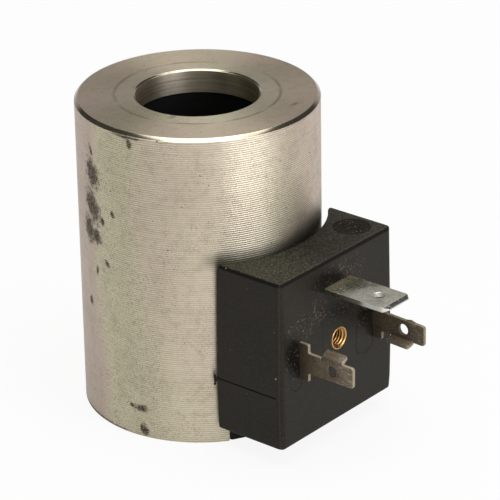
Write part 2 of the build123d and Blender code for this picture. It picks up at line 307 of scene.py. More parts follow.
def piece_from(name, sheets, finish, replaced=(), sharp=35):
    """Joins sheets of points, in millimetres, into one closed mesh that rides on the body.
    Sheets are welded where their points meet, so a sheet that goes round repeats its first column."""
    points = np.concatenate([sheet.reshape(-1, 3) for sheet in sheets]) * mm
    faces = []
    first = 0
    for sheet in sheets:
        faces.append(quads(*sheet.shape[:2], first))
        first += sheet.shape[0] * sheet.shape[1]
    mesh = bpy.data.meshes.new(name)
    mesh.from_pydata(points.tolist(), [], np.concatenate(faces).tolist())
    weld = bmesh.new()
    weld.from_mesh(mesh)
    bmesh.ops.remove_doubles(weld, verts=weld.verts, dist=1e-7)
    bmesh.ops.dissolve_degenerate(weld, edges=weld.edges, dist=1e-8)
    bmesh.ops.recalc_face_normals(weld, faces=weld.faces)
    weld.to_mesh(mesh)
    weld.free()
    finished_piece(name, mesh, finish, replaced, sharp)


def finished_piece(name, mesh, finish, replaced=(), sharp=35):
    """Gives a mesh its shading and finish, and ties it to the body and to the solids it stands for."""
    mesh.polygons.foreach_set("use_smooth", np.ones(len(mesh.polygons), bool))
    mesh.set_sharp_from_angle(angle=radians(sharp))
    mesh.materials.clear()
    mesh.materials.append(finish.owner)
    piece = in_scene(name, mesh)
    weighted = piece.modifiers.new("even shading", "WEIGHTED_NORMAL")
    weighted.keep_sharp = True
    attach(piece, "root")
    if replaced:
        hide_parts(*replaced)


_, housing_high = (np.array(corner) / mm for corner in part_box("steel_housing"))
_, ring_high = (np.array(corner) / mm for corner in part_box("bottom_pole_ring"))
housing_radius, housing_top = housing_high[0], housing_high[2]
ring_radius, ring_top = ring_high[0], ring_high[2]
bore_radius = frame["record"]["mounts"][0]["dims"]["r_mm"]
cup_wall = 3.0
end_wall = 3.8
rim_chamfer = 0.52
mouth_chamfer = 0.26
foot_chamfer = 0.2
edge_break = 0.06
slot_half_width = 11.5
slot_top = 20.0
slot_corner = 3.0
just_above = 2e-6


def eased_corner(before, corner, after, reaches, steps):
    """A corner as a quadratic curve, from a point before it to one after it, with the corner as its
    middle control. The reaches are those points' distances from the corner."""
    before, after = before - corner, after - corner
    start = corner + before / np.linalg.norm(before) * reaches[0]
    end = corner + after / np.linalg.norm(after) * reaches[1]
    t = np.linspace(0, 1, steps + 1)[:, None]
    return (1 - t) ** 2 * start + 2 * t * (1 - t) * corner + t ** 2 * end


def soft_corners(points, radius, steps=3):
    """A path whose inner corners are eased, up to nearly half the length of the sides beside them."""
    points = np.array(points, float)
    path = [points[:1]]
    for before, corner, after in zip(points[:-2], points[1:-1], points[2:]):
        reaches = [min(radius, 0.45 * np.linalg.norm(side - corner)) for side in (before, after)]
        path.append(eased_corner(before, corner, after, reaches, steps))
    path.append(points[-1:])
    return np.concatenate(path)


def turned(radius, level, angle):
    """Points at a distance from the upright axis, at a height and at an angle round the axis."""
    return np.stack([radius * np.cos(angle), radius * np.sin(angle), level + 0 * angle], -1)


def slot_reach(level):
    """Half the slot's width at a height: full, then round at its top corners, and none above it."""
    rise = np.clip(level - (slot_top - slot_corner), 0, slot_corner)
    reach = slot_half_width - slot_corner + np.sqrt(slot_corner ** 2 - rise ** 2)
    return np.where(level > slot_top + just_above / 2, 0, reach)


def housing_sheets(turns=288):
    """The wall's section goes once round, outside up and inside down, and its points are turned
    about the axis from one side of the slot to the other. Two more sheets close each side of the slot."""
    cup_radius = housing_radius - cup_wall
    cup_ceiling = housing_top - end_wall
    slot_shoulder = slot_top - slot_corner
    slot_levels = np.concatenate([
        [foot_chamfer, ring_top], np.linspace(ring_top + 1, slot_shoulder, 5, endpoint=False),
        slot_shoulder + slot_corner * np.sin(np.linspace(0, pi / 2, 9)),
    ])
    foot = (housing_radius - foot_chamfer, 0)
    outside = [foot] + [(housing_radius, level) for level in slot_levels]
    rim = soft_corners([
        (housing_radius, slot_top + just_above),
        (housing_radius, housing_top - rim_chamfer),
        (housing_radius - rim_chamfer, housing_top),
        (bore_radius + mouth_chamfer, housing_top),
        (bore_radius, housing_top - mouth_chamfer),
        (bore_radius, cup_ceiling),
        (cup_radius, cup_ceiling),
        (cup_radius, slot_top + just_above),
    ], edge_break)
    inside = [(cup_radius, level) for level in slot_levels[:0:-1]]
    inside += [(ring_radius, ring_top), (ring_radius, 0), foot]
    section = np.concatenate([outside, rim, inside])
    radius, level = section[:, :1], section[:, 1:]
    gap = np.arcsin(slot_reach(level) / radius)
    wall = turned(radius, level, -pi / 2 + gap + np.linspace(0, 1, turns + 1) * (2 * pi - 2 * gap))

    outer = wall[1:1 + len(slot_levels)]
    inner = wall[-4:-4 - (len(slot_levels) - 1):-1]
    sides = []
    for column in (0, -1):
        sides.append(np.stack([outer[1:, column], inner[:, column]], 1))
        front = [wall[0, column], outer[0, column], outer[1, column]]
        back = [wall[-2, column], wall[-2, column], wall[-3, column]]
        sides.append(np.stack([front, back], 1))
    return [wall, *sides]


stains = [
    ((-19.2, 45.2), (0.4, 0.8), 0.35),
    ((-19.0, 41.4), (1.75, 2.1), 0.22),
    ((-19.2, 36.0), (1.8, 2.5), 0.32),
    ((-20.4, 31.8), (1.5, 2.1), 0.25),
    ((-18.4, 31.4), (1.2, 1.25), 0.30),
    ((-16.6, 34.4), (0.4, 0.6), 0.3),
    ((-14.3, 36.2), (0.45, 0.5), 0.2),
    ((-15.8, 27.6), (0.5, 0.55), 0.5),
    ((-18.4, 25.6), (0.4, 0.6)),
    ((-20.8, 19.8), (0.6, 0.7)),
    ((-10.9, 49.55), (2.6, 0.2)),
    ((-10.6, 48.6), (0.5, 0.7)),
    ((-9.9, 4.9), (1.3, 0.6)),
    ((-9.4, 1.2), (0.8, 1.0), 0.3),
    ((-11.6, 5.1), (0.4, 0.35)),
    ((-20.5, 0.2), (9.0, 0.35)),
]
smudges_on_top = [((-9.9, -3.5), (0.8, 0.5)), ((5.2, -14.8), (0.9, 0.4))]
ridge_pitch = 0.345
worn_ring_radius = 12.65
block_top = 30.6


def zinc(name, ridges, stains=(), smudges=()):
    """Zinc plate over turned steel: warm grey with a green and a pink bloom and painted shade down its
    left side, fine ridges with painted shade in their valleys, deepest beside the highlight, pits like
    pepper, and the stains of long use. Painted shade also darkens the bore and the rim's chamfer, and a
    painted reflection of the black plug base darkens the steel just above it."""
    finish = Surface(name, Metallic=1.0, Anisotropic=0.66, Anisotropic_Rotation=0.25)
    x, y, z = finish.axes
    noise, paint, specks = finish.noise, finish.paint, finish.specks
    radius = (x * x + y * y) ** 0.5
    ahead = x * toward_front.x + y * toward_front.y
    aside = y * toward_front.x - x * toward_front.y
    across = aside.math("ARCTAN2", aside, ahead) * housing_radius
    on_top = z.rise(housing_top - 0.03, housing_top - 0.005)
    outside = radius.rise(housing_radius - 0.06, housing_radius - 0.02)
    in_bore = radius.fall(bore_radius + 0.02, bore_radius + 0.08)
    bevelled = z.rise(housing_top - rim_chamfer - 0.02, housing_top - rim_chamfer + 0.03)
    bevelled = bevelled * (1 - on_top) * (1 - outside) * (1 - in_bore)

    clouds = noise(11, detail=3)
    fine = noise(1.4, detail=6, offset=7)
    grain = noise(0.25, detail=2, offset=33)
    bands = noise(9, stretch=(1, 1, 0.45), detail=2, offset=21)
    plain, green, pink = (238, 228, 202), (222, 217, 187), (236, 216, 202)
    near_side = across.size().fall(35, 52)
    low_down = (z + (fine - 0.5) * 6).fall(6, 26)
    wandering = across + (clouds - 0.5) * 9 + (fine - 0.5) * 3 - low_down * 2.5
    green_bloom = wandering.rise(-21, -17) * wandering.fall(-13, -6)
    shaded_side = wandering.fall(-21.5, -17.5) * near_side * (1 - in_bore)
    finish.start(bands.rise(0.35, 0.65) * 0.4, plain, pink)
    paint(green_bloom * 0.7, green)
    paint(wandering.rise(14, 20) * near_side * (1 - in_bore) * 0.8, pink)
    paint(shaded_side * 0.85, (210, 191, 179))
    paint(clouds.rise(0.4, 0.75) * 0.15, (176, 166, 138))

    near_bore = (radius + (clouds - 0.5) * 5).fall(11, 14)
    face = finish.mix(near_bore, (180, 168, 148), (180, 176, 154))
    face = finish.mix(bands.rise(0.45, 0.7) * 0.5, face, (192, 172, 160))
    paint(on_top * 0.75, face)
    # Painted shade: the bore is darker down its wall.
    paint(in_bore * 0.3, (120, 116, 94))
    paint(fine.rise(0.45, 0.72) * 0.2, (150, 138, 112))

    streaks = noise(1.0, stretch=(0.05, 0.05, 4.0), detail=3, offset=3)
    paint(streaks.rise(0.42, 0.7) * (0.1 + in_bore * 0.3), (112, 104, 84))
    ridge = (z * (2 * pi / ridge_pitch)).wave()
    # Painted shade in the ridges' valleys, deeper on the lit side beside the highlight.
    valley_shade = (0 - ridge).rise(-0.4, 1) * outside
    lit_side = across.rise(-1, 6) * z.fall(38, 48)
    paint(valley_shade * (0.3 * ridges + 0.25 * ridges * lit_side), (124, 114, 92))

    worn_ring = (radius - worn_ring_radius + (fine - 0.5) * 0.3).size().fall(0.05, 0.4)
    worn_ring = worn_ring * noise(5, offset=50).rise(0.3, 0.6) * on_top
    paint(worn_ring * 0.7, (136, 114, 92))

    pepper = noise(0.24, detail=2, offset=55).rise(0.5, 0.66)
    pepper = pepper * (noise(5, offset=40) + green_bloom * 0.3).rise(0.35, 0.75)
    paint(pepper * 0.45, (130, 106, 80))
    pits = specks(1.3, 0.1, 5).larger(specks(2.2, 0.16, 31))
    pits = pits * noise(3, offset=43).rise(0.45, 0.55) * (1 - in_bore)
    paint(pits * 0.7, (78, 62, 46))

    # Painted reflection of the black plug base: the steel just above it is darkened, fading upwards.
    over_base = (z - block_top) / (2.2 + 4.2 * x.rise(-4, 12))
    base_reflection = over_base.fall(0, 1) * z.rise(block_top - 2, block_top) * x.size().fall(12, 15) * y.fall(-9, -6)
    paint(base_reflection * (0.5 + 0.35 * grain) * outside, (50, 52, 50))

    frayed = noise(0.9, detail=6, rough=0.72, offset=12)
    darker = [patch(across, z, frayed, *stain) * outside for stain in stains]
    darker += [patch(x, y, frayed, *smudge) * on_top * 0.5 for smudge in smudges]
    dark = reduce(Amount.larger, darker, pits * 0.3)
    mottled = noise(0.35, detail=4, offset=90).rise(0.3, 0.65)
    paint(dark * (0.5 + 0.5 * mottled), (84, 74, 62))
    # Painted shade on the rim's chamfer, to darken its reflections.
    paint(bevelled * 0.4, (130, 130, 118))
    rough = 0.36 + 0.06 * clouds + 0.06 * fine + dark * 0.2 - bevelled * 0.26
    scuffed = (fine * 0.008 + grain * 0.004) * (1 - bevelled)
    return finish.complete(rough, ridge * (0.012 * ridges) * outside, scuffed, streaks * (0.04 * in_bore),
                           0 - pits * 0.03, 0 - dark * 0.01)


zinc_on_cup = zinc("zinc_on_turned_steel", 1.0, stains, smudges_on_top)
piece_from("turned_housing", housing_sheets(), zinc_on_cup, ["steel_housing"])


# Moulded body: glass-filled black plastic, moulded in one shot round the coil inside and out through
# the slot into the plug base. Its mould parts at the side seams, and a pin pushed it out at the top.
seam_height = 11.7
draft = tan(radians(0.6))
block_half_width = 13.7
block_front = 26.95
block_bottom = 3.1
block_round = 0.4
side_edge_depth = 0.75
top_edge_depth = 0.3
tuck_reach = 1.1
tuck_depth = 0.4
saddle_radius = housing_radius + 1.0
saddle_round = 0.12
horn_round = 0.42
seam_width = 0.25
seam_depth = 0.2
seam_stop = 1.1
pin_mark = (9.5, -22.2)
pin_mark_radius = 2.9
pin_mark_depth = 0.12
insert_x = 0.35
contact_height = 16.7
insert_radius = 1.86
insert_recess = 1.0
slot_play = 0.05


def front_face(level):
    """How far forward the base's front is at a height: it leans back both ways from the seam."""
    return -(block_front - np.abs(level - seam_height) * draft)


def arc_depth(radius, across):
    """How far forward a circle about the upright axis is, at a distance to the side."""
    return -np.sqrt(radius ** 2 - across ** 2)


def base_outline():
    """The base seen from the front: points inset by the edges' rounding, and the outward direction
    at each. Each corner keeps its inset point while its direction turns by a quarter."""
    inner_bottom = block_bottom + block_round
    inner_top = block_top - block_round
    seam = seam_height + seam_width * np.array([-1.0, -0.5, -0.4, -0.15, 0.15, 0.4, 0.5, 1.0])
    levels = np.concatenate([np.linspace(inner_bottom, seam_height - 0.6, 14), seam,
                             np.linspace(seam_height + 0.6, inner_top, 30)])
    inner_half = block_half_width - block_round - np.abs(levels - seam_height) * draft
    across_top = np.linspace(inner_half[-1], -inner_half[-1], 140)
    across_bottom = np.linspace(-inner_half[0], inner_half[0], 60)
    sides = [
        (inner_half, levels, 0),
        (across_top, inner_top + 0 * across_top, pi / 2),
        (-inner_half[::-1], levels[::-1], pi),
        (across_bottom, inner_bottom + 0 * across_bottom, 3 * pi / 2),
    ]
    quarter = np.linspace(0, pi / 2, 7)[1:-1]
    points, turns = [], []
    for x, z, angle in sides:
        points += [np.stack([x, z], -1), np.repeat([[x[-1], z[-1]]], len(quarter), 0)]
        turns += [np.full(len(x), angle), angle + quarter]
    points, turns = np.concatenate(points), np.concatenate(turns)
    points, turns = np.append(points, points[:1], 0), np.append(turns, turns[0])
    return points, np.stack([np.cos(turns), np.sin(turns)], -1)


def smooth_step(value, low, high):
    """0 below low, 1 above high, and a smooth cubic between."""
    share = np.clip((value - low) / (high - low), 0, 1)
    return share * share * (3 - 2 * share)


def base_sheet():
    """Rings of points from the insert's hole out over the front, round its edges, back along the
    walls and in again over the saddle, which is concentric with the steel. The wall's far edge is an
    arc that swings from the wall's outward direction to the direction of the steel's axis."""
    inset, outward = base_outline()
    middle = np.array([insert_x, contact_height])
    toward = inset - middle
    rim = middle + insert_radius * toward / np.linalg.norm(toward, axis=1, keepdims=True)
    rings = []

    def ring(flat, depth):
        rings.append(np.stack([flat[:, 0], depth, flat[:, 1]], -1))

    ring(rim, front_face(rim[:, 1]) + insert_recess)
    for share in np.linspace(0, 1, 24) ** 1.3:
        flat = rim + (inset - rim) * share
        ring(flat, front_face(flat[:, 1]))
    edge_depth = top_edge_depth + (side_edge_depth - top_edge_depth) * outward[:, 0] ** 2
    for turn in np.linspace(0, pi / 2, 7)[1:]:
        flat = inset + outward * block_round * sin(turn)
        ring(flat, front_face(flat[:, 1]) + edge_depth * (1 - cos(turn)))
    outer = inset + outward * block_round
    at_horn = smooth_step(np.abs(outer[:, 0]), block_half_width - 1.6, block_half_width - 0.5)
    at_horn = at_horn * smooth_step(outer[:, 1], block_top - 1.0, block_top - 0.1)
    round_here = saddle_round + (horn_round - saddle_round) * at_horn
    middle = outer - outward * round_here[:, None]
    reach = saddle_radius + round_here
    middle_depth = arc_depth(reach, middle[:, 0])
    start = front_face(outer[:, 1]) + edge_depth
    for share in np.concatenate([np.linspace(0, 0.1, 7)[1:], np.linspace(0.1, 1, 60)[1:]]):
        ring(outer, start + (middle_depth - start) * share)
    toward_axis = np.stack([-middle[:, 0], -middle_depth, 0 * reach], -1) / reach[:, None]
    away = np.stack([outward[:, 0], 0 * reach, outward[:, 1]], -1)
    swing = np.arccos(np.clip((away * toward_axis).sum(-1), -1, 1))
    centre_line = np.stack([middle[:, 0], middle_depth, middle[:, 1]], -1)
    for share in np.linspace(0, 1, 7)[1:]:
        blend = np.sin((1 - share) * swing)[:, None] * away + np.sin(share * swing)[:, None] * toward_axis
        rings.append(centre_line + round_here[:, None] * blend / np.sin(swing)[:, None])
    edge = rings[-1][:, ::2]
    back = np.array([0, contact_height])
    for share in np.linspace(1, 0, 12)[1:]:
        flat = back + (edge - back) * share
        ring(flat, arc_depth(saddle_radius, flat[:, 0]))
    return pressed_details(np.array(rings))


def pressed_details(points):
    """Tucks the side walls in towards the front on a quarter circle, up to twice as far at the foot,
    and sinks the side seams and the pin's mark: a seam is a groove whose depth falls off with height
    from its line, and the mark is a flat round dip with a steep side."""
    x, y, z = points[..., 0], points[..., 1], points[..., 2]
    share = np.clip(1 - (y - front_face(z)) / tuck_reach, 0, 1)
    tuck = tuck_depth * (1 - np.sqrt(1 - share ** 2)) * (2 - smooth_step(z, block_bottom, block_bottom + 2.5))
    x -= np.sign(x) * tuck * smooth_step(np.abs(x), block_half_width - 4, block_half_width - 1)
    on_side = np.abs(x) > block_half_width - 0.35
    groove = 1 - smooth_step(np.abs(z - seam_height), 0.15 * seam_width, 0.5 * seam_width)
    groove = groove * smooth_step(y, -block_front + seam_stop, -block_front + seam_stop + 0.3) * on_side
    x -= np.sign(x) * groove * seam_depth
    from_mark = np.hypot(x - pin_mark[0], y - pin_mark[1])
    dip = 1 - smooth_step(from_mark, pin_mark_radius - 0.12, pin_mark_radius + 0.05)
    z -= dip * (z > block_top - 0.01) * pin_mark_depth
    return points


def rounded_outline(left, right, bottom, top, foot_round, top_round, steps=8):
    """A closed outline in the upright plane: straight sides with round feet and round shoulders.
    Each of its stretches is cut into five, so that it can follow a curved face."""
    quarter = np.linspace(0, pi / 2, steps)
    corners = [
        (right - foot_round, bottom + foot_round, foot_round, -pi / 2),
        (right - top_round, top - top_round, top_round, 0),
        (left + top_round, top - top_round, top_round, pi / 2),
        (left + foot_round, bottom + foot_round, foot_round, pi),
    ]
    outline = np.concatenate([
        np.stack([x + radius * np.cos(start + quarter), z + radius * np.sin(start + quarter)], -1)
        for x, z, radius, start in corners
    ])
    outline = np.concatenate([outline, outline[:1]])
    spread = np.linspace(0, 1, 6)[:-1, None, None]
    dense = outline[:-1] + spread * (outline[1:] - outline[:-1])
    dense = dense.transpose(1, 0, 2).reshape(-1, 2)
    return np.concatenate([dense, dense[:1]])


def prism_sheet(outline, back, front, edge=0.05):
    """A closed prism along the depth: rings shrink to a point at both ends, and the front edge is
    cut by a small rounding. back and front give the depth for points of the outline's plane."""
    middle = outline[:-1].mean(0)
    reach = np.abs(outline - middle).max()
    rings = []
    for depth_of, shares, shift in ((back, np.linspace(0, 1, 5), 0), (front, [1], edge),
                                    (front, 1 - edge / reach * np.array([0.3, 1]), 0),
                                    (front, np.linspace(1, 0, 5)[1:], 0)):
        for share in shares:
            flat = middle + (outline - middle) * share
            rings.append(np.stack([flat[:, 0], depth_of(flat) + shift, flat[:, 1]], -1))
    return np.array(rings)


def slot_filling(bottom, foot_round, back_radius, front_radius):
    """The moulding that fills the slot, between two circles about the upright axis."""
    half = slot_half_width - slot_play
    outline = rounded_outline(-half, half, bottom, slot_top - slot_play, foot_round, slot_corner - slot_play)
    return prism_sheet(outline, lambda flat: arc_depth(back_radius, flat[:, 0]),
                       lambda flat: arc_depth(front_radius, flat[:, 0]))


neck = slot_filling(0.2, 0.4, housing_radius - cup_wall, housing_radius - slot_play)
link = slot_filling(block_bottom + 0.06, 0.3, housing_radius - 0.3, saddle_radius + 0.3)

spool_low, spool_high = (np.array(corner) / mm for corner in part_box("bobbin"))
coil_low, coil_high = (np.array(corner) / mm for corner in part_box("winding_tape"))
flange = 1.2
barrel = 10.65
skin_radius = housing_radius - cup_wall - 0.15
skin_section = np.array([
    (skin_radius, spool_low[2]),
    (skin_radius, spool_high[2]),
    (barrel, spool_high[2]),
    (barrel, coil_high[2] + flange),
    (spool_high[0], coil_high[2] + flange),
    (spool_high[0], coil_high[2]),
    (coil_high[0], coil_high[2]),
    (coil_high[0], coil_low[2]),
    (spool_high[0], coil_low[2]),
    (spool_high[0], coil_low[2] - flange),
    (barrel, coil_low[2] - flange),
    (barrel, spool_low[2]),
    (skin_radius, spool_low[2]),
])
skin = turned(skin_section[:, :1], skin_section[:, 1:], np.linspace(0, 2 * pi, 193))

# Places of painted shade round the terminals' roots and under the earth blade.
terminal_shade_places = [((-10.9, 17.4), (1.5, 3.6)), ((6.9, 19.0), (2.0, 3.4)), ((-2.0, 27.6), (3.8, 1.8)),
               ((2.5, 22.0), (5.0, 2.1))]
rusty_places = [((-10.6, 22.1), (1.5, 1.2)), ((-7.8, 21.8), (2.3, 2.4)), ((-4.4, 23.1), (1.7, 2.0)),
                ((2.2, 27.4), (1.6, 2.0)), ((5.0, 27.1), (1.5, 2.4))]
chipped_places = [(-13.7, -25.83, 15.05), (-13.5, -16.36, 30.5)]


def moulding(name):
    """Black glass-filled plastic, half matt and grainy: dusty on top, speckled with brown dust where
    plugs have rubbed it, smoother and with painted shade round the terminals' roots and under the earth
    blade, and torn in the ejector pin's mark. Painted shade also lies across the top's middle, along its
    rounded top edges and under the base, and a painted highlight runs down the side walls by the front."""
    finish = Surface(name, IOR=1.45, Specular_IOR_Level=0.3, Specular_Tint=(1.0, 0.95, 0.87, 1.0))
    x, y, z = finish.axes
    noise, paint, specks = finish.noise, finish.paint, finish.specks
    clouds = noise(9, detail=3)
    blotches = noise(1.6, detail=8, rough=0.7, offset=27)
    grain = noise(0.36, detail=3, rough=0.7, offset=11)
    frayed = noise(0.9, detail=6, rough=0.7, offset=35)
    on_top = z.rise(block_top - 0.35, block_top - 0.1)
    on_front = y.fall(-block_front + 0.25, -block_front + 0.7)
    finish.start(clouds.rise(0.3, 0.7), (24, 21, 15), (32, 29, 22))
    paint(grain.rise(0.42, 0.66) * 0.4, (52, 48, 39))

    left_end = x.fall(-9, 0)
    right_end = x.rise(5, 12)
    sugar = noise(0.3, detail=2, offset=120).rise(0.5, 0.62)
    dusty = (blotches * 0.6 + grain * 0.9 - 0.25).rise(0.34, 0.66) * on_top
    # Painted shade across the middle of the top.
    paint(on_top * (1 - left_end) * (1 - right_end) * 0.6, (15, 14, 11))
    paint(sugar * (0.15 + on_top * 0.25), (12, 11, 9))
    paint(dusty * (0.12 + 0.75 * left_end), (66, 65, 50))
    paint(dusty * right_end * 0.5, (62, 54, 44))
    paint(specks(0.34, 0.17, 130) * on_top * (0.3 + 0.25 * left_end), (98, 95, 78))
    paint(specks(0.4, 0.22, 140) * on_top * 0.7, (8, 8, 6))
    # Painted shade along the rounded top edges.
    rim_shade = z.rise(block_top - 0.68, block_top - 0.48) * z.fall(block_top - 0.1, block_top - 0.02)
    # A painted highlight down the side walls beside the front edges.
    side_edge = (y + block_front - 0.3).size().fall(0.2, 0.5) * (1 - on_front)
    paint(rim_shade * 0.95, (5, 5, 4))
    # Painted shade under the base.
    paint(z.fall(2.7, 3.0), (5, 5, 4))
    paint(side_edge * (0.4 + 0.6 * blotches) * 0.4, (84, 78, 68))

    # Painted shade and dark reflection round the terminals' roots and under the earth blade, where the
    # surface is also smoother.
    terminal_shade = reduce(Amount.larger, [patch(x, z, frayed, *place) for place in terminal_shade_places]) * on_front
    paint(terminal_shade * 0.9, (9, 8, 6))
    rubbed = reduce(Amount.larger, [patch(x, z, frayed, *place) for place in rusty_places]) * on_front
    rust = specks(0.5, 0.15, 61).larger(specks(0.33, 0.1, 66))
    rust = rust * noise(1.0, detail=6, rough=0.7, offset=14).rise(0.47, 0.6) * rubbed
    paint(rust * 0.8, (158, 124, 98))
    white = specks(0.36, 0.1, 81) * noise(0.9, offset=4).rise(0.36, 0.55)
    stray = specks(1.6, 0.11, 17) * noise(3, offset=9).rise(0.45, 0.55)
    paint((white * terminal_shade.larger(rubbed * 0.5)).larger(stray) * 0.55, (150, 142, 124))
    for place in chipped_places:
        far = finish.vector("DISTANCE", finish.place, place, "Value")
        paint(far.fall(0.06, 0.2) * 0.8, (206, 184, 154))

    across_mark = ((x - pin_mark[0]) ** 2 + (y - pin_mark[1]) ** 2) ** 0.5
    in_mark = (pin_mark_radius - across_mark).rise(0, 0.25) * on_top
    mark_ring = (across_mark - pin_mark_radius).size().fall(0.05, 0.2) * on_top
    torn = noise(0.7, detail=6, rough=0.7, offset=77).rise(0.42, 0.6) * in_mark
    fleck = specks(0.45, 0.12, 44) * in_mark * blotches.rise(0.45, 0.6)
    paint(in_mark * 0.4, (50, 46, 38))
    paint(torn * across_mark.fall(0.6, 2.4) * 0.85, (8, 7, 6))
    paint(mark_ring * 0.7, (8, 7, 6))
    paint(fleck * 0.9, (168, 152, 122))
    rough = 0.4 + 0.1 * clouds + 0.12 * grain + dusty * 0.2 + torn * 0.2 - terminal_shade * 0.14 + rim_shade * 0.3
    return finish.complete(rough, grain * 0.02, clouds * 0.02, torn * 0.12, rust * 0.02, dusty * 0.01)


black = moulding("black_moulding")
piece_from("moulded_plug_base", [base_sheet(), neck, link, skin], black, ["moulded_body"])


def crumb(place, size):
    """A torn crumb squeezed out at an edge: a ball stretched to its size, whose radius swells and
    shrinks with the product of two waves round it."""
    tilt, turn = np.meshgrid(np.linspace(0, pi, 13), np.linspace(0, 2 * pi, 25), indexing="ij")
    lumpy = 0.8 + 0.2 * np.sin(3 * tilt + 1) * np.cos(2 * turn)
    ball = np.stack([np.sin(tilt) * np.cos(turn), np.sin(tilt) * np.sin(turn), np.cos(tilt)], -1)
    return place + ball * lumpy[..., None] * size


crumbs = [crumb((-13.72, -14.1, 11.45), (0.32, 0.3, 0.75)), crumb((-13.85, -14.1, 10.7), (0.25, 0.2, 0.3)),
          crumb((-13.8, -14.0, 12.0), (0.2, 0.2, 0.3))]
piece_from("seam_flash", crumbs, black)


# Terminal carrier: a small moulding in the same plastic, placed in the mould first to hold the
# terminals and the insert in line. Only the flat ends of its four lobes show in the base's face.
lobe_proud = 0.012
lobe_depth = 2.5
lobe_round = 0.6
gap_depth = 0.1


def lobe(left, right, bottom, top):
    """One lobe, from inside the base to just proud of its face."""
    outline = rounded_outline(left, right, bottom, top, lobe_round, lobe_round)
    return prism_sheet(outline, lambda flat: front_face(flat[:, 1]) + lobe_depth,
                       lambda flat: front_face(flat[:, 1]) - lobe_proud)


def parting_line(corners, softness, half_width=0.08):
    """The fine dark gap between the two mouldings: a thin strip carried along a softened path over
    the face. Its four-cornered section shrinks to a point at both ends."""
    path = soft_corners(corners, softness, 6)
    run = np.gradient(path, axis=0)
    aside = np.stack([-run[:, 1], run[:, 0]], -1) / np.linalg.norm(run, axis=1, keepdims=True)
    section = [(-1, gap_depth), (-1, -lobe_proud), (1, -lobe_proud), (1, gap_depth), (-1, gap_depth)]
    rings = []
    for side, depth in section:
        flat = path + aside * side * half_width
        rings.append(np.stack([flat[:, 0], front_face(flat[:, 1]) + depth, flat[:, 1]], -1))
    strip = np.stack(rings, 1)
    first, last = (np.repeat(strip[row].mean(0)[None], len(section), 0)[None] for row in (0, -1))
    return np.concatenate([first, strip, last])


lobes = [
    lobe(-8.70, -3.65, 15.7, 23.0),
    lobe(4.46, 8.62, 11.9, 17.2),
    lobe(-11.25, -9.30, 12.3, 17.9),
    lobe(10.0, 11.9, 15.5, 21.1),
]
piece_from("carrier_lobes", lobes, moulding("carrier_moulding"), ["terminal_carrier"])

gap = Surface("gap_shadow", Roughness=0.9)
gap.feed(gap.shader.inputs["Base Color"], gap.mix(gap.noise(0.6), (8, 7, 6), (22, 20, 17)))
parting_lines = [
    parting_line([(-4.5, 23.1), (-3.62, 22.9), (-3.66, 15.7)], 0.3),
    parting_line([(5.6, 17.3), (4.46, 16.9), (4.46, 12.3), (6.6, 11.75), (8.55, 12.2), (8.6, 15.4)], 1.0),
    parting_line([(-8.98, 13.6), (-9.03, 12.3), (-10.2, 11.9), (-11.6, 12.8)], 0.7),
    parting_line([(-7.5, 12.65), (-5.5, 12.35)], 0.2, 0.04),
]
piece_from("carrier_outline", parting_lines, gap)


# Power terminals: stamped from thin sheet and folded over along one edge. The plating has gone
# brown and dull, and is rubbed bright along the edges. The right one is the left one turned over,
# folded further, and bent a little inwards.
contact_x = 9.0
face_y = float(front_face(contact_height))
terminal_sheet = 0.6
terminal_edge = 0.1
blade_tip, blade_root, blade_half = -10.0, -1.65, 1.65
shoulder_end, shoulder_half = 1.8, 3.05
tail_end, tail_half = 7.2, 1.0
fold_base = 1.25
fold_radius = 0.3 + terminal_sheet / 2
fold_leg = 1.2
fold_end = -7.85
relief = 0.02
hole_along = -5.95
hole_radius = 0.9
knock = tan(radians(3.0))


def rounded(corners, steps=4):
    """A closed outline from (x, y, radius) corners, each eased over its radius."""
    points = np.array([corner[:2] for corner in corners], float)
    outline = []
    for index, (_, _, radius) in enumerate(corners):
        around = points[index - 1], points[index], points[(index + 1) % len(points)]
        outline.append(eased_corner(*around, (radius, radius), steps) if radius else points[index][None])
    return np.concatenate(outline)


def circle(x, y, radius, steps=40):
    """A hole's outline, which runs clockwise, against the outline that it is in."""
    angle = np.linspace(2 * pi, 0, steps, endpoint=False)
    return np.stack([x + radius * np.cos(angle), y + radius * np.sin(angle)], -1)


def blank(name, outlines, thickness, edge):
    """A flat stamping: outlines filled in the plane, thickened both ways, with its edges rounded.
    Gives a mesh in metres, with the plane's two axes first and the thickness last."""
    curve = bpy.data.curves.new(name, "CURVE")
    curve.dimensions = "2D"
    curve.fill_mode = "BOTH"
    curve.extrude = (thickness / 2 - edge) * mm
    curve.bevel_depth = edge * mm
    curve.bevel_resolution = 2
    curve.offset = -edge * mm
    for outline in outlines:
        spline = curve.splines.new("POLY")
        spline.points.add(len(outline) - 1)
        flat = np.zeros((len(outline), 4))
        flat[:, :2] = outline * mm
        flat[:, 3] = 1
        spline.points.foreach_set("co", flat.ravel())
        spline.use_cyclic_u = True
    holder = bpy.data.objects.new(name, curve)
    mesh = bpy.data.meshes.new_from_object(holder)
    bpy.data.objects.remove(holder)
    return mesh


def cut_lines(mesh, places):
    """Adds edges across a mesh where it is to be bent, one at each place along its second axis."""
    cutter = bmesh.new()
    cutter.from_mesh(mesh)
    bmesh.ops.remove_doubles(cutter, verts=cutter.verts, dist=1e-7)
    second_axis = Vector((0, 1, 0))
    for place in places:
        everything = cutter.verts[:] + cutter.edges[:] + cutter.faces[:]
        point = second_axis * place * mm
        bmesh.ops.bisect_plane(cutter, geom=everything, dist=1e-7, plane_co=point, plane_no=second_axis)
    bmesh.ops.triangulate(cutter, faces=cutter.faces)
    bmesh.ops.recalc_face_normals(cutter, faces=cutter.faces)
    cutter.to_mesh(mesh)
    cutter.free()


